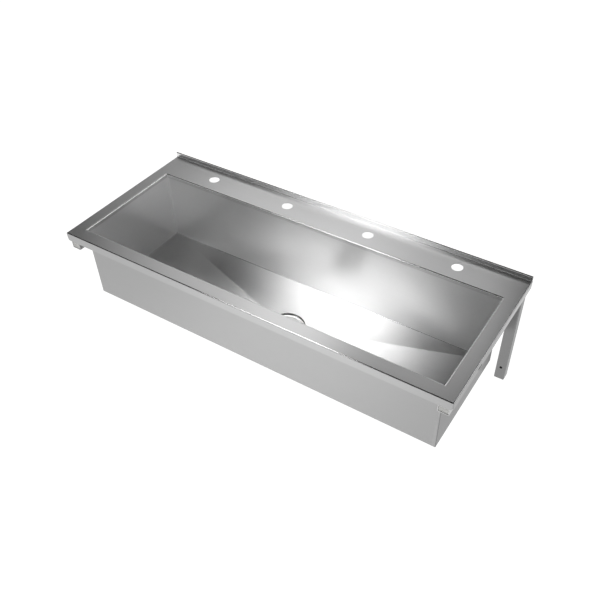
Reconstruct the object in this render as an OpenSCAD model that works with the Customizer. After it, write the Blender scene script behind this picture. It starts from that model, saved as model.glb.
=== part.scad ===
// Wall-hung stainless steel trough sink with four tap holes, on two box-section brackets.
// Millimetres. The origin is the centre of the four wall fixing holes, on the wall plane.
// +X runs along the trough, +Y points into the wall and +Z up.

/* [Deck] */
// Overall length of the deck
deck_l = 1200; // [900:10:1800]
// Overall depth, from the front edge to the wall
deck_d = 490; // [450:5:560]
// Thickness of the deck and bowl sheet
sheet_t = 1.5; // [1.2:0.1:2]
// Outer radius of every fold in the sheet
fold_r = 3; // [2.5:0.5:4]
// Height of the downturned edge at the front and sides
downturn_h = 25; // [20:1:40]
// Radius of the lower corners of the downturned edge
downturn_corner_r = 10; // [5:1:14]
// Width of the flat rim in front of the bowl
front_rim = 41.5; // [35:0.5:60]
// Width of the flat rim at each end of the bowl
side_rim = 41; // [39:0.5:60]
// Depth of the tap ledge behind the bowl
ledge_d = 97.5; // [80:0.5:120]
// Height of the rear upstand above the deck
upstand_h = 15.5; // [10:0.5:40]
// Thickness of the hemmed upstand
upstand_t = 5.7; // [4:0.1:10]

/* [Tap ledge] */
// Number of tap holes
tap_count = 4; // [1:1:4]
// Distance between tap holes
tap_pitch = 273; // [200:1:290]
// Diameter of a tap hole
tap_hole_d = 32; // [28:1:35]
// Distance from the upstand to the tap hole centres
tap_inset = 46; // [30:1:60]

/* [Bowl] */
// Depth from the rim to the edge of the bowl floor
bowl_depth = 230; // [180:1:260]
// Fall of the floor from its edge to the middle
floor_fall = 14.5; // [8:0.5:20]
// Height of the folded lip that carries the bowl
lip_h = 12; // [8:1:20]
// Length of the folded edge round each bowl end
end_return = 10; // [8:1:20]

/* [Waste] */
// Depth of the seat below the middle of the floor
seat_drop = 3.5; // [3:0.5:6]
// Diameter of the waste hole in the seat
waste_hole_d = 90; // [88:1:92]
// Outer diameter of the waste flange
waste_flange_d = 106; // [102:1:110]
// Outer diameter of the threaded outlet
outlet_d = 47.8; // [40:0.1:48]
// Length of the threaded outlet
outlet_l = 22; // [16:1:40]

/* [Brackets] */
// Width of the box section, along the trough
tube_w = 30; // [25:1:32]
// Height of the box section of the arm
arm_h = 50; // [30:1:60]
// Depth of the box section of the leg
leg_d = 30; // [25:1:40]
// Wall thickness of the box section
tube_t = 2; // [1.5:0.5:3]
// Outer corner radius of the box section
tube_r = 3; // [2.5:0.5:4]
// Thickness of the end plates that close the box section
cap_t = 2; // [1.5:0.5:4]
// Distance from the rim down to the foot of the leg
leg_reach = 361; // [330:1:420]
// Gap between the bowl end and the bracket
bracket_gap = 1.5; // [1:0.5:4]
// Distance from the front edge to the front end of the arm
arm_setback = 5; // [4:1:20]
// Diameter of a wall fixing hole
fix_hole_d = 8.5; // [7:0.5:10]
// Vertical distance between the wall fixing holes of one leg
fix_pitch_z = 225; // [150:5:230]
// Height of the lower wall fixing hole above the foot of the leg
fix_foot = 45; // [30:1:60]

/* [Deck fixings] */
// Diameter of the weld studs under the deck
stud_d = 6; // [5:1:8]
// Distance from the front edge to the first stud
stud_front = 95; // [70:5:120]
// Distance from the wall to the rear stud
stud_rear = 105; // [70:5:140]
// Length of the slot near each end of the front, in the side downturn
slot_l = 24; // [15:1:40]
// Height of that slot
slot_w = 6; // [4:1:8]
// Distance from the front edge to the middle of that slot
slot_front = 151; // [120:1:180]

/* [Hidden] */
$fn = 48;
overrun = 1;
steel = [0.74, 0.74, 0.73];
polished = [0.82, 0.82, 0.81];
tube_steel = [0.66, 0.66, 0.65];
zinc = [0.70, 0.71, 0.72];
rubber = [0.10, 0.10, 0.10];
moulding = [0.90, 0.90, 0.88];

// Heights and depths in the deck's own frame: zero at the rim's top and front edge
rim_z = leg_reach - fix_foot - fix_pitch_z / 2;
fold_in_r = fold_r - sheet_t;
upstand_y = deck_d - upstand_t;
bowl_front = front_rim;
bowl_rear = upstand_y - ledge_d;
bowl_w = bowl_rear - bowl_front;
bowl_l = deck_l - 2 * side_rim;
bowl_y = (bowl_front + bowl_rear) / 2;
end_seam = bowl_l / 2 + sheet_t - end_return;
seat_z = -bowl_depth - floor_fall - seat_drop;
under_z = seat_z - sheet_t;
flange_r = waste_flange_d / 2;
seat_clear = 1;
seat_r = flange_r + seat_clear;
recess_flare = 2;
recess_r = seat_r + recess_flare;
recess_top_z = -bowl_depth - floor_fall / 2;

// Upstand hem
hem_r = upstand_t / 2;
hem_end_gap = 1;

// Side slot, measured from the lower edge of the downturn
slot_edge = 3;

// Brackets
tube_x = bowl_l / 2 + sheet_t + bracket_gap + tube_w / 2;
arm_l = deck_d - leg_d - arm_setback;
arm_foot_z = -sheet_t - arm_h;
cap_set = 1;
cap_clear = 0.1;

// Studs, washers and nuts of the arms
stud_clear = 0.5;
thread_clear = 0.1;
washer_r = 6.4;
washer_t = 1.6;
nut_r = 5.77;
nut_flat_r = nut_r * cos(30);
nut_h = 5;
stud_tip = 3;

// Waste seals
seal_t = 1;
seal_lap = 1;
under_seal_t = 3;
seal_clear = 0.5;

// Waste flange: a dished ring, a cup and a spoked floor with a hub for the screw
flange_t = 1.2;
flange_lip_h = 2;
cup_clear = 3.5;
cup_r = waste_hole_d / 2 - cup_clear;
cup_depth = 32;
spoke_holes = 6;
spoke_hole_r = 8;
spoke_ring_r = 25;

// Waste body: clamps the floor from below and carries the outlet tail
body_flange_lap = 4;
body_flange_r = flange_r + body_flange_lap;
body_flange_t = 4;
body_wall = 3;
body_clear = 1;
body_in_r = cup_r + body_clear;
body_depth = 46;
outlet_wall = 4.4;
bore_r = outlet_d / 2 - outlet_wall;
tail_step = 2;
tail_clear = 0.1;
spigot_r = outlet_d / 2 - tail_step;
boss_r = 8;
rib_count = 3;
rib_t = 3;
rib_h = 7;

// Clamping screw
screw_r = 4;
screw_clear = 0.3;
screw_head_r = 7;
screw_head_h = 4;
screw_slot_w = 1.4;
screw_slot_depth = 2;
screw_l = 20;

// Lift-out basket with its seal and knob
basket_clear = 3.3;
basket_r = cup_r - flange_t - basket_clear;
basket_t = 1;
basket_lip_w = 7;
basket_lip_r = basket_r + basket_lip_w;
basket_depth = 24;
basket_hole_r = 2;
basket_ring_shares = [0.45, 0.68, 0.88];
basket_ring_counts = [10, 16, 22];
basket_seal_t = 1.6;
basket_seal_w = 3;
knob_r = 9;
knob_post_r = 4;
knob_h = 5;
knob_post_h = 14;
knob_foot_r = 7;
knob_foot_h = 1.5;
rest_gap = 0.3;

// Heights of the waste pieces
flange_seat_z = seat_z + seal_t;
flange_top_z = flange_seat_z + flange_lip_h;
cup_floor_z = flange_seat_z - cup_depth;
body_top_z = under_z - under_seal_t;
body_floor_z = body_top_z - body_depth;
body_floor_top_z = body_floor_z + body_wall;
outlet_end_z = body_floor_z - outlet_l;
basket_lip_z = flange_seat_z + flange_t + rest_gap + basket_seal_t;
basket_floor_z = basket_lip_z - basket_depth;

// Moves a piece from the deck's own frame to the wall fixing frame
module from_deck() { translate([0, -deck_d, rim_z]) children(); }

// Moves a piece to the vertical axis of the waste
module from_waste() { from_deck() translate([0, bowl_y, 0]) children(); }

// Mirrored pair about the middle of the trough
module both_ends() { children(); mirror([1, 0, 0]) children(); }

// Profile in the YZ plane, drawn as (y, z) and run along X about the middle
module run_x(length) {
    translate([-length / 2, 0, 0]) rotate([90, 0, 90]) linear_extrude(length) children();
}

// Profile in the XZ plane, drawn as (x, z) and run along Y from a start
module run_y(start, length) {
    translate([0, start + length, 0]) rotate([90, 0, 0]) linear_extrude(length) children();
}

// Block with its front and side edges rounded, top at z = 0 and front at y = 0
module rounded_block(l, d, h, r) {
    side = l / 2 - r;
    translate([-side, r, -h]) cube([2 * side, d - r, h]);
    translate([-l / 2, r, -h]) cube([l, d - r, h - r]);
    translate([-side, 0, -h]) cube([2 * side, d, h - r]);
    translate([-side, r, -r]) rotate([0, 90, 0]) cylinder(r = r, h = 2 * side);
    both_ends() {
        translate([side, r, -r]) rotate([-90, 0, 0]) cylinder(r = r, h = d - r);
        translate([side, r, -h]) cylinder(r = r, h = h - r);
        translate([side, r, -r]) sphere(r = r);
    }
}

// Folded pan: flat deck with its front and side downturns
module deck_pan() {
    difference() {
        rounded_block(deck_l, deck_d, downturn_h, fold_r);
        translate([0, sheet_t, -sheet_t])
            rounded_block(deck_l - 2 * sheet_t, deck_d, downturn_h, fold_in_r);
        translate([fold_r - deck_l / 2, upstand_y, -sheet_t - overrun])
            cube([deck_l - 2 * fold_r, deck_d, sheet_t + 2 * overrun]);
    }
}

// Upstand profile: a bend up from the deck, a face and a hem back down at the wall
module upstand_profile() {
    bend_y = upstand_y - fold_in_r;
    hem_y = upstand_y + hem_r;
    hem_z = upstand_h - hem_r;
    difference() {
        translate([bend_y, -sheet_t]) square([fold_r, fold_r]);
        translate([bend_y, fold_in_r]) circle(r = fold_in_r);
    }
    translate([upstand_y, fold_in_r]) square([sheet_t, hem_z - fold_in_r]);
    translate([deck_d - sheet_t, fold_in_r]) square([sheet_t, hem_z - fold_in_r]);
    difference() {
        translate([hem_y, hem_z]) circle(r = hem_r);
        translate([hem_y, hem_z]) circle(r = hem_r - sheet_t);
        translate([upstand_y - overrun, 0]) square([upstand_t + 2 * overrun, hem_z]);
    }
}

// Rolled mouth profile of the bowl opening: grow is zero for the clear space
// and the sheet thickness for its outside, over is how far it passes the lip and the deck
module mouth_profile(width, grow, over) {
    half = width / 2;
    translate([-half - grow, -lip_h - over]) square([width + 2 * grow, lip_h + 2 * over]);
    difference() {
        translate([-half - fold_r, -fold_r]) square([width + 2 * fold_r, fold_r + over]);
        for (side = [-1, 1])
            translate([side * (half + fold_r), -fold_r]) circle(r = fold_r - grow);
    }
}

// Space of the bowl mouth, folded over on all four sides
module mouth_space(grow, over) {
    intersection() {
        translate([0, bowl_y, 0]) run_x(bowl_l + 2 * fold_r) mouth_profile(bowl_w, grow, over);
        run_y(bowl_front - fold_r, bowl_w + 2 * fold_r) mouth_profile(bowl_l, grow, over);
    }
}

// One rounded lower corner cut from the front edge and one from the side edge
module downturn_corner() {
    r = downturn_corner_r;
    run_y(-overrun, overrun + fold_r) difference() {
        translate([deck_l / 2 - r, -downturn_h - overrun]) square([r + overrun, r + overrun]);
        translate([deck_l / 2 - r, r - downturn_h]) circle(r = r);
    }
    translate([deck_l / 2, 0, 0]) run_x(2 * fold_r) difference() {
        translate([-overrun, -downturn_h - overrun]) square([r + overrun, r + overrun]);
        translate([r, r - downturn_h]) circle(r = r);
    }
}

// Slot in one side downturn
module side_slot() {
    half = (slot_l - slot_w) / 2;
    slot_z = slot_edge + slot_w / 2 - downturn_h;
    translate([deck_l / 2, slot_front, slot_z]) rotate([0, 90, 0]) {
        for (end = [-1, 1])
            translate([0, end * half, -fold_r]) cylinder(d = slot_w, h = 2 * fold_r);
        translate([-slot_w / 2, -half, -fold_r]) cube([slot_w, 2 * half, 2 * fold_r]);
    }
}

module tap_holes() {
    for (i = [0 : tap_count - 1])
        translate([(i - (tap_count - 1) / 2) * tap_pitch, upstand_y - tap_inset, -sheet_t - overrun])
            cylinder(d = tap_hole_d, h = sheet_t + 2 * overrun);
}

module deck() {
    color(steel) from_deck() difference() {
        union() {
            deck_pan();
            run_x(deck_l - 2 * hem_end_gap) upstand_profile();
            mouth_space(sheet_t, 0);
        }
        mouth_space(0, overrun);
        tap_holes();
        both_ends() downturn_corner();
        both_ends() side_slot();
    }
}

// Bowl section with folded lower corners and a floor that falls to the middle
module bowl_profile(width, grow) {
    half = width / 2 + grow;
    r = fold_in_r + grow;
    floor_z = -bowl_depth - grow;
    polygon([[-half, -lip_h], [-half, floor_z + r], [r - half, floor_z], [0, floor_z - floor_fall],
             [half - r, floor_z], [half, floor_z + r], [half, -lip_h]]);
    for (side = [-1, 1])
        translate([side * (half - r), floor_z + r]) circle(r = r);
}

// Plan of the bowl with its upright corners rounded
module bowl_plan(grow) {
    half_l = bowl_l / 2 + grow;
    half_w = bowl_w / 2 + grow;
    r = fold_in_r + grow;
    square([2 * half_l - 2 * r, 2 * half_w], center = true);
    square([2 * half_l, 2 * half_w - 2 * r], center = true);
    for (sx = [-1, 1], sy = [-1, 1])
        translate([sx * (half_l - r), sy * (half_w - r)]) circle(r = r);
}

// Space of the bowl below its lip: grow is zero for the clear space
// and the sheet thickness for its outside
module bowl_space(grow) {
    deep = bowl_depth + floor_fall + 2 * sheet_t;
    translate([0, bowl_y, 0]) intersection() {
        run_x(bowl_l + 2 * grow) bowl_profile(bowl_w, grow);
        run_y(-bowl_w / 2 - grow, bowl_w + 2 * grow) bowl_profile(bowl_l, grow);
        translate([0, 0, -deep]) linear_extrude(deep) bowl_plan(grow);
    }
}

// Folded and welded bowl shell with the pressed recess of the waste
module bowl_shell() {
    recess_h = recess_top_z - seat_z;
    difference() {
        union() {
            bowl_space(sheet_t);
            translate([0, bowl_y, under_z])
                cylinder(r1 = seat_r + sheet_t, r2 = recess_r + sheet_t, h = floor_fall / 2);
        }
        bowl_space(0);
        translate([0, bowl_y, seat_z]) cylinder(r1 = seat_r, r2 = recess_r, h = floor_fall / 2);
        translate([0, bowl_y, seat_z + floor_fall / 2]) cylinder(r = recess_r, h = recess_h);
        translate([0, bowl_y, under_z - overrun]) cylinder(d = waste_hole_d, h = sheet_t + 2 * overrun);
    }
}

// Half space beyond one bowl end seam
module beyond_seam() {
    translate([end_seam, 0, -2 * bowl_depth]) cube([deck_l, deck_d, 2 * bowl_depth]);
}

module bowl_wrap() {
    color(steel) from_deck() difference() {
        bowl_shell();
        both_ends() beyond_seam();
    }
}

module bowl_end() { intersection() { bowl_shell(); beyond_seam(); } }

module bowl_end_right() { color(steel) from_deck() bowl_end(); }

module bowl_end_left() { color(steel) from_deck() mirror([1, 0, 0]) bowl_end(); }

// Box section outline with rounded corners, hollow
module tube_outline(w, d) {
    difference() {
        rounded_rectangle(w, d, tube_r);
        rounded_rectangle(w - 2 * tube_t, d - 2 * tube_t, tube_r - tube_t);
    }
}

module rounded_rectangle(w, d, r) {
    square([w - 2 * r, d], center = true);
    square([w, d - 2 * r], center = true);
    for (sx = [-1, 1], sy = [-1, 1])
        translate([sx * (w / 2 - r), sy * (d / 2 - r)]) circle(r = r);
}

// Where the two studs of one arm stand
module at_studs() {
    for (y = [stud_front, deck_d - stud_rear]) translate([tube_x, y, 0]) children();
}

module bracket_arm() {
    difference() {
        translate([tube_x, 0, -sheet_t - arm_h / 2]) run_y(arm_setback, arm_l) tube_outline(tube_w, arm_h);
        at_studs() translate([0, 0, arm_foot_z - overrun])
            cylinder(r = stud_d / 2 + stud_clear, h = arm_h + 2 * overrun);
    }
}

module bracket_arm_right() { color(tube_steel) from_deck() bracket_arm(); }

module bracket_arm_left() { color(tube_steel) from_deck() mirror([1, 0, 0]) bracket_arm(); }

module bracket_leg() {
    difference() {
        translate([tube_x, deck_d - leg_d / 2, -leg_reach])
            linear_extrude(leg_reach - sheet_t) tube_outline(tube_w, leg_d);
        for (i = [0, 1])
            translate([tube_x, deck_d + overrun, fix_foot + i * fix_pitch_z - leg_reach])
                rotate([90, 0, 0]) cylinder(d = fix_hole_d, h = leg_d + 2 * overrun);
    }
}

module bracket_leg_right() { color(tube_steel) from_deck() bracket_leg(); }

module bracket_leg_left() { color(tube_steel) from_deck() mirror([1, 0, 0]) bracket_leg(); }

// Outline of an end plate, just inside the walls of a box section
module cap_outline(w, d) {
    inset = tube_t + cap_clear;
    rounded_rectangle(w - 2 * inset, d - 2 * inset, tube_r - tube_t);
}

module arm_cap() {
    translate([tube_x, 0, -sheet_t - arm_h / 2])
        run_y(arm_setback + cap_set, cap_t) cap_outline(tube_w, arm_h);
}

module arm_cap_right() { color(tube_steel) from_deck() arm_cap(); }

module arm_cap_left() { color(tube_steel) from_deck() mirror([1, 0, 0]) arm_cap(); }

module leg_cap() {
    translate([tube_x, deck_d - leg_d / 2, cap_set - leg_reach])
        linear_extrude(cap_t) cap_outline(tube_w, leg_d);
}

module leg_cap_right() { color(tube_steel) from_deck() leg_cap(); }

module leg_cap_left() { color(tube_steel) from_deck() mirror([1, 0, 0]) leg_cap(); }

module deck_studs() {
    stud_l = arm_h + washer_t + nut_h + stud_tip;
    color(zinc) from_deck() both_ends() at_studs()
        translate([0, 0, -sheet_t - stud_l]) cylinder(d = stud_d, h = stud_l);
}

module stud_washers() {
    color(zinc) from_deck() both_ends() at_studs() translate([0, 0, arm_foot_z - washer_t])
        difference() {
            cylinder(r = washer_r, h = washer_t);
            translate([0, 0, -overrun]) cylinder(r = stud_d / 2 + stud_clear, h = washer_t + 2 * overrun);
        }
}

module stud_nuts() {
    color(zinc) from_deck() both_ends() at_studs() translate([0, 0, arm_foot_z - washer_t - nut_h])
        difference() {
            intersection() {
                cylinder(r = nut_r, h = nut_h, $fn = 6);
                cylinder(r1 = nut_flat_r, r2 = nut_flat_r + nut_h, h = nut_h);
                cylinder(r1 = nut_flat_r + nut_h, r2 = nut_flat_r, h = nut_h);
            }
            translate([0, 0, -overrun]) cylinder(r = stud_d / 2 + thread_clear, h = nut_h + 2 * overrun);
        }
}

// Ring with a square section
module ring(r_out, r_in, low, high) {
    translate([0, 0, low]) difference() {
        cylinder(r = r_out, h = high - low);
        translate([0, 0, -overrun]) cylinder(r = r_in, h = high - low + 2 * overrun);
    }
}

module waste_flange() {
    in_r = cup_r - flange_t;
    color(polished) from_waste() difference() {
        union() {
            rotate_extrude() polygon([
                [in_r, cup_floor_z], [cup_r, cup_floor_z], [cup_r, flange_seat_z],
                [flange_r, flange_seat_z], [flange_r, flange_top_z], [flange_r - flange_t, flange_top_z],
                [basket_lip_r + flange_t, flange_seat_z + flange_t], [in_r, flange_seat_z + flange_t]]);
            translate([0, 0, cup_floor_z]) cylinder(r = cup_r, h = flange_t);
        }
        for (i = [0 : spoke_holes - 1]) rotate(i * 360 / spoke_holes)
            translate([spoke_ring_r, 0, cup_floor_z - overrun])
                cylinder(r = spoke_hole_r, h = flange_t + 2 * overrun);
        translate([0, 0, cup_floor_z - overrun])
            cylinder(r = screw_r + screw_clear, h = flange_t + 2 * overrun);
    }
}

module waste_seal_top() {
    color(rubber) from_waste()
        ring(flange_r - seal_lap, waste_hole_d / 2 + seal_clear, seat_z, flange_seat_z);
}

module waste_seal_bottom() {
    color(rubber) from_waste()
        ring(body_flange_r - seal_lap, waste_hole_d / 2 + seal_clear, body_top_z, under_z);
}

module waste_body() {
    body_out_r = body_in_r + body_wall;
    tail_hole_r = spigot_r + tail_clear;
    boss_h = cup_floor_z - body_floor_z;
    color(moulding) from_waste() {
        rotate_extrude() polygon([
            [body_in_r, body_top_z], [body_flange_r, body_top_z],
            [body_flange_r, body_top_z - body_flange_t], [body_out_r, body_top_z - body_flange_t],
            [body_out_r, body_floor_z], [tail_hole_r, body_floor_z],
            [tail_hole_r, body_floor_top_z], [body_in_r, body_floor_top_z]]);
        translate([0, 0, body_floor_z]) difference() {
            union() {
                cylinder(r = boss_r, h = boss_h);
                for (i = [0 : rib_count - 1]) rotate(90 + i * 360 / rib_count)
                    translate([0, -rib_t / 2, body_wall]) cube([body_in_r + body_wall / 2, rib_t, rib_h]);
            }
            translate([0, 0, -overrun]) cylinder(r = screw_r + thread_clear, h = boss_h + 2 * overrun);
        }
    }
}

// Threaded outlet: its spigot sits in the body's floor and its shoulder below it
module outlet_tail() {
    spigot_top_z = body_floor_top_z - tail_clear;
    color(moulding) from_waste() rotate_extrude() polygon([
        [bore_r, outlet_end_z], [outlet_d / 2, outlet_end_z], [outlet_d / 2, body_floor_z],
        [spigot_r, body_floor_z], [spigot_r, spigot_top_z], [bore_r, spigot_top_z]]);
}

module waste_screw() {
    head_z = cup_floor_z + flange_t;
    color(zinc) from_waste() {
        translate([0, 0, head_z - screw_l]) cylinder(r = screw_r, h = screw_l + screw_slot_depth);
        difference() {
            translate([0, 0, head_z]) cylinder(r = screw_head_r, h = screw_head_h);
            translate([-screw_head_r, -screw_slot_w / 2, head_z + screw_head_h - screw_slot_depth])
                cube([2 * screw_head_r, screw_slot_w, screw_head_h]);
        }
    }
}

module basket() {
    in_r = basket_r - basket_t;
    color(polished) from_waste() difference() {
        rotate_extrude() polygon([
            [0, basket_floor_z], [basket_r, basket_floor_z], [basket_r, basket_lip_z],
            [basket_lip_r, basket_lip_z], [basket_lip_r, basket_lip_z + basket_t],
            [in_r, basket_lip_z + basket_t], [in_r, basket_floor_z + basket_t],
            [0, basket_floor_z + basket_t]]);
        for (ring_i = [0 : len(basket_ring_counts) - 1], i = [0 : basket_ring_counts[ring_i] - 1])
            rotate(i * 360 / basket_ring_counts[ring_i])
                translate([basket_ring_shares[ring_i] * basket_r, 0, basket_floor_z - overrun])
                    cylinder(r = basket_hole_r, h = basket_t + 2 * overrun);
    }
}

module basket_seal() {
    color(rubber) from_waste()
        ring(basket_lip_r, basket_lip_r - basket_seal_w, basket_lip_z - basket_seal_t, basket_lip_z);
}

module basket_knob() {
    color(polished) from_waste() translate([0, 0, basket_floor_z + basket_t])
        rotate_extrude() polygon([
            [0, 0], [knob_foot_r, 0], [knob_foot_r, knob_foot_h], [knob_post_r, knob_foot_h],
            [knob_post_r, knob_post_h], [knob_r, knob_post_h + knob_h / 2],
            [knob_r, knob_post_h + knob_h], [0, knob_post_h + knob_h]]);
}

deck();
bowl_wrap();
bowl_end_left();
bowl_end_right();
bracket_arm_left();
bracket_arm_right();
bracket_leg_left();
bracket_leg_right();
arm_cap_left();
arm_cap_right();
leg_cap_left();
leg_cap_right();
deck_studs();
stud_washers();
stud_nuts();
waste_flange();
waste_seal_top();
waste_seal_bottom();
waste_body();
outlet_tail();
waste_screw();
basket();
basket_seal();
basket_knob();
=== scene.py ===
# Looks of the wall-hung trough sink: metres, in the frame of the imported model.
import math

import bpy
from mathutils import Matrix, Quaternion, Vector


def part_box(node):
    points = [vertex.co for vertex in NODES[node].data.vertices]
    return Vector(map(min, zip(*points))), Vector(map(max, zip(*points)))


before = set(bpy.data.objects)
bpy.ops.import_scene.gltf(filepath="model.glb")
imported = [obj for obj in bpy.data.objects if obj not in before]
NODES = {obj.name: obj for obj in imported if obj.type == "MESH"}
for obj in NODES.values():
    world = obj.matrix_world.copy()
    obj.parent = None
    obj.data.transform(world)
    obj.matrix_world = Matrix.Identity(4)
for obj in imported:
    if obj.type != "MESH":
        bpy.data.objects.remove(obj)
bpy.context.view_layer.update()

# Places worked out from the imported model. The rim is one sheet thick and lies on the arms.
SHEET_THICKNESS = 0.0015
RIM_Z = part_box("bracket_arm_left")[1].z + SHEET_THICKNESS
RIM_HEIGHT = 0.85
FLOOR_Z = RIM_Z - RIM_HEIGHT
BOWL_LOW, BOWL_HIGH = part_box("bowl_wrap")
BOWL_CENTRE = (BOWL_LOW + BOWL_HIGH) / 2


# Shared by the camera, the studio and the lamps

def add_object(name, data):
    added = bpy.data.objects.new(name, data)
    bpy.context.scene.collection.objects.link(added)
    return added


def direction(azimuth, elevation):
    """The way out from the trough: degrees round from its front, and degrees above level."""
    around, above = math.radians(azimuth), math.radians(elevation)
    return Vector((math.sin(around) * math.cos(above),
                   -math.cos(around) * math.cos(above),
                   math.sin(above)))


# Camera: its angles are in degrees, its lens and sensor in millimetres

CAMERA_AT = Vector((0.9124, -1.5222, 1.4433))
AZIMUTH, ELEVATION, ROLL = 33.015, 42.901, -0.924
LENS = 43.91
SENSOR_WIDTH = 36
SHIFT = (-0.02572, 0.02284)
SIGHT_LIMIT = 50


def make_camera():
    camera = add_object("camera", bpy.data.cameras.new("camera"))
    aim = (-direction(AZIMUTH, ELEVATION)).to_track_quat("-Z", "Y").to_matrix()
    turn = aim @ Matrix.Rotation(math.radians(ROLL), 3, "Z")
    camera.matrix_world = Matrix.Translation(CAMERA_AT) @ turn.to_4x4()
    camera.data.lens = LENS
    camera.data.sensor_width = SENSOR_WIDTH
    camera.data.shift_x, camera.data.shift_y = SHIFT
    camera.data.clip_end = SIGHT_LIMIT
    bpy.context.scene.camera = camera


# Material building blocks

NOISE_DETAIL = 3.0
# The range that nearly all of a noise's values lie in
NOISE_RANGE = (0.3, 0.7)
# Painted shade: these constants pick the outer faces, and the sideways ones among them, that
# take a darker grey of the same steel
# Outer faces turn away from a point this far above the bowl's centre
VIEWPOINT_HEIGHT = 0.4
ABOVE_BOWL = BOWL_CENTRE + Vector((0, 0, VIEWPOINT_HEIGHT))
# Distance of that point behind a face's plane, over which the face turns from inner to outer
OUTER_SHADE_RANGE = (-0.001, 0.001)
# Length of the normal along the trough, over which a face turns from front to side
SIDE_SHADE_RANGE = (0.5, 0.7)
# Longest part of the normal along any one axis, from a fold's rounded middle to a flat sheet
FOLD_RANGE = (0.94, 0.98)


class Shader:
    """One material with its node tree, and short calls that add nodes to it."""

    def __init__(self, name):
        self.material = bpy.data.materials.new(name)
        self.material.use_nodes = True
        self.tree = self.material.node_tree
        self.tree.nodes.clear()
        self.surface = self.node("ShaderNodeBsdfPrincipled")
        output = self.node("ShaderNodeOutputMaterial")
        self.set(output, "Surface", self.surface.outputs[0])
        self.place = self.node("ShaderNodeTexCoord").outputs["Object"]

    def node(self, kind, **values):
        made = self.tree.nodes.new(kind)
        for key, value in values.items():
            setattr(made, key, value)
        return made

    def set(self, made, key, value):
        """Links another node's output to a socket, or sets the socket to a constant."""
        if hasattr(value, "is_output"):
            self.tree.links.new(value, made.inputs[key])
        else:
            made.inputs[key].default_value = value

    def stretched(self, scale):
        mapping = self.node("ShaderNodeMapping")
        self.set(mapping, "Vector", self.place)
        self.set(mapping, "Scale", scale)
        return mapping.outputs[0]

    def noise(self, vector, scale, roughness):
        made = self.node("ShaderNodeTexNoise")
        self.set(made, "Vector", vector)
        self.set(made, "Scale", scale)
        self.set(made, "Detail", NOISE_DETAIL)
        self.set(made, "Roughness", roughness)
        return made.outputs[0]

    def worked(self, operation, *values):
        made = self.node("ShaderNodeMath", operation=operation)
        for index, value in enumerate(values):
            self.set(made, index, value)
        return made.outputs[0]

    def ranged(self, value, given, wanted):
        """The value brought from the given range to the wanted one, and held within it."""
        made = self.node("ShaderNodeMapRange")
        self.set(made, "Value", value)
        for keys, limits in ((("From Min", "From Max"), given), (("To Min", "To Max"), wanted)):
            for key, limit in zip(keys, limits):
                self.set(made, key, limit)
        return made.outputs[0]

    def varied(self, noise, middle, variation):
        return self.ranged(noise, NOISE_RANGE, (middle - variation, middle + variation))

    def ramp(self, noise, low_colour, high_colour):
        made = self.node("ShaderNodeValToRGB")
        self.set(made, "Fac", noise)
        colours = (low_colour, high_colour)
        for stop, position, colour in zip(made.color_ramp.elements, NOISE_RANGE, colours):
            stop.position = position
            stop.color = (*colour, 1)
        return made.outputs[0]

    def mixed(self, share, first, second):
        """The first colour or value where the share is 0, and the second where it is 1."""
        made = self.node("ShaderNodeMix", data_type="RGBA")
        for index, value in ((0, share), (6, first), (7, second)):
            self.set(made, index, value)
        return made.outputs[2]

    def bump(self, height, distance):
        made = self.node("ShaderNodeBump")
        self.set(made, "Height", height)
        self.set(made, "Distance", distance)
        return made.outputs[0]

    def normal(self):
        return self.node("ShaderNodeNewGeometry").outputs["Normal"]

    def normal_sizes(self):
        """How far the normal reaches along each axis, either way."""
        split = self.node("ShaderNodeSeparateXYZ")
        self.set(split, 0, self.normal())
        return [self.worked("ABSOLUTE", size) for size in split.outputs]

    def outer_shade_mask(self):
        """1 on outer faces, which take the painted shade, and 0 on faces that show from above
        the bowl.
        """
        outward = self.node("ShaderNodeVectorMath", operation="SUBTRACT")
        self.set(outward, 0, self.place)
        self.set(outward, 1, ABOVE_BOWL)
        facing = self.node("ShaderNodeVectorMath", operation="DOT_PRODUCT")
        self.set(facing, 0, outward.outputs[0])
        self.set(facing, 1, self.normal())
        return self.ranged(facing.outputs["Value"], OUTER_SHADE_RANGE, (0.0, 1.0))

    def side_shade_mask(self):
        """1 on faces that look along the trough, to its left or right, where outer faces take a
        darker painted shade still.
        """
        return self.ranged(self.normal_sizes()[0], SIDE_SHADE_RANGE, (0.0, 1.0))

    def on_folds(self):
        """1 on the rounded folds between flat sheets, where the normal lies on no axis."""
        sizes = self.normal_sizes()
        largest = self.worked("MAXIMUM", self.worked("MAXIMUM", sizes[0], sizes[1]), sizes[2])
        return self.ranged(largest, FOLD_RANGE, (1.0, 0.0))


# Brushed steel: the grain runs along one axis, and the gloss spreads across it

ALONG_GRAIN, ACROSS_GRAIN = 2.5, 300
GRAIN_SCALE = 6.0
GRAIN_NOISE_ROUGHNESS = 0.6
GRAIN_LEVELS = (0.98, 1.02)
GRAIN_DEPTH = 0.0000012
SATIN_VARIATION = 0.005
# Folds are rubbed smoother than the flat sheets beside them
FOLD_ROUGHNESS = 0.14
FOLD_VARIATION = 0.01


def steel_shades(shine):
    """The darker and the lighter grey at the ends of the steel's grain."""
    return [(level * shine, level * shine, level * shine) for level in GRAIN_LEVELS]


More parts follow.
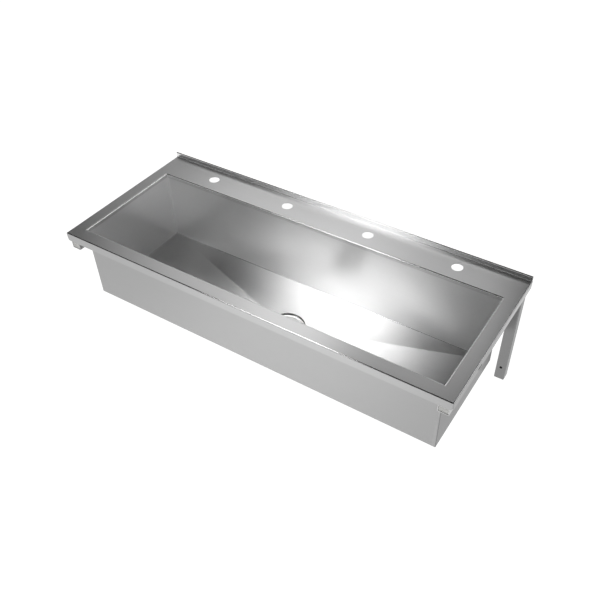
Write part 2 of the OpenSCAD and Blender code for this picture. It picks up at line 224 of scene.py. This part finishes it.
def brushed_steel(name, shine, roughness, along, spread, outer_painted_shade=None, side_painted_shade=None):
    """Satin steel. Given an outer shade, faces that look away from the bowl get that darker
    grey, and those among them that look sideways get the side shade, darker still: painted
    shade on what is one steel."""
    steel = Shader(name)
    stretch = [ALONG_GRAIN if axis == along else ACROSS_GRAIN for axis in "XYZ"]
    grain = steel.noise(steel.stretched(stretch), GRAIN_SCALE, GRAIN_NOISE_ROUGHNESS)
    colour = steel.ramp(grain, *steel_shades(shine))
    # Painted shade: outer faces take a darker grey of the same grain, and sideways outer faces
    # a darker one still
    if outer_painted_shade is not None:
        outer = steel.ramp(grain, *steel_shades(outer_painted_shade))
        side = steel.ramp(grain, *steel_shades(side_painted_shade))
        outer = steel.mixed(steel.side_shade_mask(), outer, side)
        colour = steel.mixed(steel.outer_shade_mask(), colour, outer)
    satin = steel.varied(grain, roughness, SATIN_VARIATION)
    rubbed = steel.varied(grain, FOLD_ROUGHNESS, FOLD_VARIATION)
    steel.set(steel.surface, "Base Color", colour)
    steel.set(steel.surface, "Metallic", 1.0)
    steel.set(steel.surface, "Roughness", steel.mixed(steel.on_folds(), satin, rubbed))
    steel.set(steel.surface, "Anisotropic", spread)
    tangent = steel.node("ShaderNodeTangent", direction_type="RADIAL", axis=along)
    steel.set(steel.surface, "Tangent", tangent.outputs[0])
    steel.set(steel.surface, "Normal", steel.bump(grain, GRAIN_DEPTH))
    return steel.material


# Plain finishes: a fine speck in the colour, the roughness and the surface

SPECK_SCALE = 900
SPECK_NOISE_ROUGHNESS = 0.5
SPECK_LEVEL = 0.94
SPECK_DEPTH = 0.00002
SPECK_VARIATION = 0.04


def plain(name, colour, roughness, metallic=0.0):
    finish = Shader(name)
    speck = finish.noise(finish.place, SPECK_SCALE, SPECK_NOISE_ROUGHNESS)
    speck_colour = [channel * SPECK_LEVEL for channel in colour]
    finish.set(finish.surface, "Base Color", finish.ramp(speck, speck_colour, colour))
    finish.set(finish.surface, "Metallic", metallic)
    finish.set(finish.surface, "Roughness", finish.varied(speck, roughness, SPECK_VARIATION))
    finish.set(finish.surface, "Normal", finish.bump(speck, SPECK_DEPTH))
    return finish.material


# Finishes of the trough's nodes

DECK_SPREAD = 0.65
BOWL_SPREAD = 0.8
POLISHED_COLOUR = (0.90, 0.90, 0.89)


def dress(material, *names):
    for name in names:
        NODES[name].data.materials.clear()
        NODES[name].data.materials.append(material)


def dress_sheets():
    # Each sheet's grey inside is raised above real steel's as painted light, and its outer and
    # side greys are lowered as painted shade, on what is one steel
    deck = brushed_steel("deck_steel", shine=0.76, roughness=0.28, along="X",
                         spread=DECK_SPREAD, outer_painted_shade=0.385, side_painted_shade=0.28)
    wrap = brushed_steel("bowl_steel", shine=0.88, roughness=0.285, along="X",
                         spread=BOWL_SPREAD, outer_painted_shade=0.345, side_painted_shade=0.18)
    ends = brushed_steel("bowl_end_steel", shine=0.92, roughness=0.285, along="Y",
                         spread=BOWL_SPREAD, outer_painted_shade=0.345, side_painted_shade=0.18)
    dress(deck, "deck")
    dress(wrap, "bowl_wrap")
    dress(ends, "bowl_end_left", "bowl_end_right")


def dress_brackets():
    arm = brushed_steel("arm_steel", shine=0.50, roughness=0.32, along="Y", spread=BOWL_SPREAD)
    # The leg's grey is painted shade: it is the same bracket steel as the arm, set much darker
    leg = brushed_steel("leg_steel", shine=0.22, roughness=0.32, along="Z", spread=BOWL_SPREAD)
    cap = plain("cap_steel", (0.72, 0.72, 0.70), roughness=0.50, metallic=0.5)
    fastener = plain("fastener_steel", (0.60, 0.61, 0.62), roughness=0.30, metallic=1.0)
    dress(arm, "bracket_arm_left", "bracket_arm_right")
    dress(leg, "bracket_leg_left", "bracket_leg_right")
    dress(cap, "arm_cap_left", "arm_cap_right", "leg_cap_left", "leg_cap_right")
    dress(fastener, "deck_studs", "stud_washers", "stud_nuts", "waste_screw")


def dress_waste():
    polished = plain("polished_steel", POLISHED_COLOUR, roughness=0.20, metallic=1.0)
    basket = plain("basket_steel", POLISHED_COLOUR, roughness=0.42, metallic=1.0)
    rubber = plain("seal_rubber", (0.02, 0.02, 0.02), roughness=0.6)
    moulding = plain("waste_moulding", (0.78, 0.78, 0.76), roughness=0.45)
    dress(polished, "waste_flange", "basket_knob")
    dress(basket, "basket")
    dress(rubber, "waste_seal_top", "waste_seal_bottom", "basket_seal")
    dress(moulding, "waste_body", "outlet_tail")


# Floor and backdrop

STUDIO_RADIUS = 12.0
BACKDROP_HEIGHT = 4.6
BACKDROP_SIDES = 96
FLOOR_SHADE = 0.3


def studio_white():
    """A white that the camera and the steel see alike, over a lit diffuse surface that keeps
    the object's shadow."""
    material = bpy.data.materials.new("studio_white")
    material.use_nodes = True
    tree = material.node_tree
    tree.nodes.clear()
    output = tree.nodes.new("ShaderNodeOutputMaterial")
    diffuse = tree.nodes.new("ShaderNodeBsdfDiffuse")
    diffuse.inputs["Color"].default_value = (FLOOR_SHADE, FLOOR_SHADE, FLOOR_SHADE, 1)
    glow = tree.nodes.new("ShaderNodeEmission")
    path = tree.nodes.new("ShaderNodeLightPath")
    seen = path.outputs["Is Camera Ray"]
    for kind in ("Is Glossy Ray", "Is Transmission Ray"):
        either = tree.nodes.new("ShaderNodeMath")
        either.operation = "MAXIMUM"
        tree.links.new(seen, either.inputs[0])
        tree.links.new(path.outputs[kind], either.inputs[1])
        seen = either.outputs[0]
    tree.links.new(seen, glow.inputs["Strength"])
    both = tree.nodes.new("ShaderNodeAddShader")
    tree.links.new(diffuse.outputs[0], both.inputs[0])
    tree.links.new(glow.outputs[0], both.inputs[1])
    tree.links.new(both.outputs[0], output.inputs["Surface"])
    return material


def make_studio():
    white = studio_white()
    sides = range(BACKDROP_SIDES)
    turns = [2 * math.pi * side / BACKDROP_SIDES for side in sides]
    rim = [Vector((STUDIO_RADIUS * math.cos(turn), STUDIO_RADIUS * math.sin(turn), FLOOR_Z))
           for turn in turns]
    top = [point + Vector((0, 0, BACKDROP_HEIGHT)) for point in rim]
    walls = [(side, (side + 1) % BACKDROP_SIDES,
              (side + 1) % BACKDROP_SIDES + BACKDROP_SIDES, side + BACKDROP_SIDES)
             for side in sides]
    for name, points, faces in (("floor", rim, [sides]), ("backdrop", rim + top, walls)):
        mesh = bpy.data.meshes.new(name)
        mesh.from_pydata(points, [], faces)
        mesh.materials.append(white)
        add_object(name, mesh)


# World: almost black, because the lamps light the object

WORLD_LEVEL = 0.02


def make_world():
    world = bpy.data.worlds.new("studio")
    bpy.context.scene.world = world
    world.use_nodes = True
    world.node_tree.nodes["Background"].inputs["Strength"].default_value = WORLD_LEVEL


# Lamps

# Ceiling panels face down. Each: name, place in x and y, width and depth in metres, and
# brightness, where 1 is the white of the background
CEILING_OVER_RIM = 2.5
CEILING_PANELS = [
    ("front_strip", -1.32, -2.3, 0.9, 1.8, 5.3),
    ("front_near", -0.85, -1.05, 0.5, 0.8, 2.4),
    ("rear_core", -1.36, 2.0, 0.35, 2.4, 1.25),
    ("rear_middle", -1.34, 2.0, 0.85, 2.4, 1.35),
    ("rear_wide", -1.5, 2.5, 2.9, 1.4, 0.95),
    ("rear_left", -3.4, 3.2, 1.8, 3.0, 0.25),
    ("rear_middle_left", -2.5, 1.5, 1.2, 1.2, 0.6),
    ("rear_right", 0.0, 1.8, 1.2, 2.2, 0.1),
]

# A washer is given like a ceiling panel. It hangs low, faces the floor and makes a pool of
# light that the outer faces mirror.
WASHER_OVER_FLOOR = 0.35
FLOOR_WASHERS = [
    ("middle_washer", -0.35, -1.4, 1.0, 1.0, 3.2),
]

# Side panels face the bowl. Each: name, azimuth from the front and elevation in degrees,
# width and height in metres, and brightness
SIDE_DISTANCE = 6.0
SIDE_PANELS = [
    ("right_wall", 75, 32, 2.4, 2.0, 1.2),
    ("rear_right_wall", 130, 29, 3.0, 1.7, 2.5),
]

# An area lamp that isn't turned shines straight down
FACING_DOWN = Quaternion()


def area_lamp(name, place, turn, width, height, brightness):
    lamp = add_object(name, bpy.data.lights.new(name, "AREA"))
    lamp.data.shape = "RECTANGLE"
    lamp.data.size, lamp.data.size_y = width, height
    lamp.data.energy = math.pi * width * height * brightness
    lamp.matrix_world = Matrix.Translation(place) @ turn.to_matrix().to_4x4()
    lamp.visible_camera = False


def make_lamps():
    ceiling_z = RIM_Z + CEILING_OVER_RIM
    washer_z = FLOOR_Z + WASHER_OVER_FLOOR
    for panels, z in ((CEILING_PANELS, ceiling_z), (FLOOR_WASHERS, washer_z)):
        for name, x, y, width, depth, brightness in panels:
            area_lamp(name, Vector((x, y, z)), FACING_DOWN, width, depth, brightness)
    middle = Vector((0, BOWL_CENTRE.y, RIM_Z))
    for name, azimuth, elevation, width, height, brightness in SIDE_PANELS:
        outward = direction(azimuth, elevation)
        turn = (-outward).to_track_quat("-Z", "Y")
        area_lamp(name, middle + outward * SIDE_DISTANCE, turn, width, height, brightness)


make_camera()
dress_sheets()
dress_brackets()
dress_waste()
make_studio()
make_world()
make_lamps()
bpy.context.scene.view_settings.view_transform = "Standard"
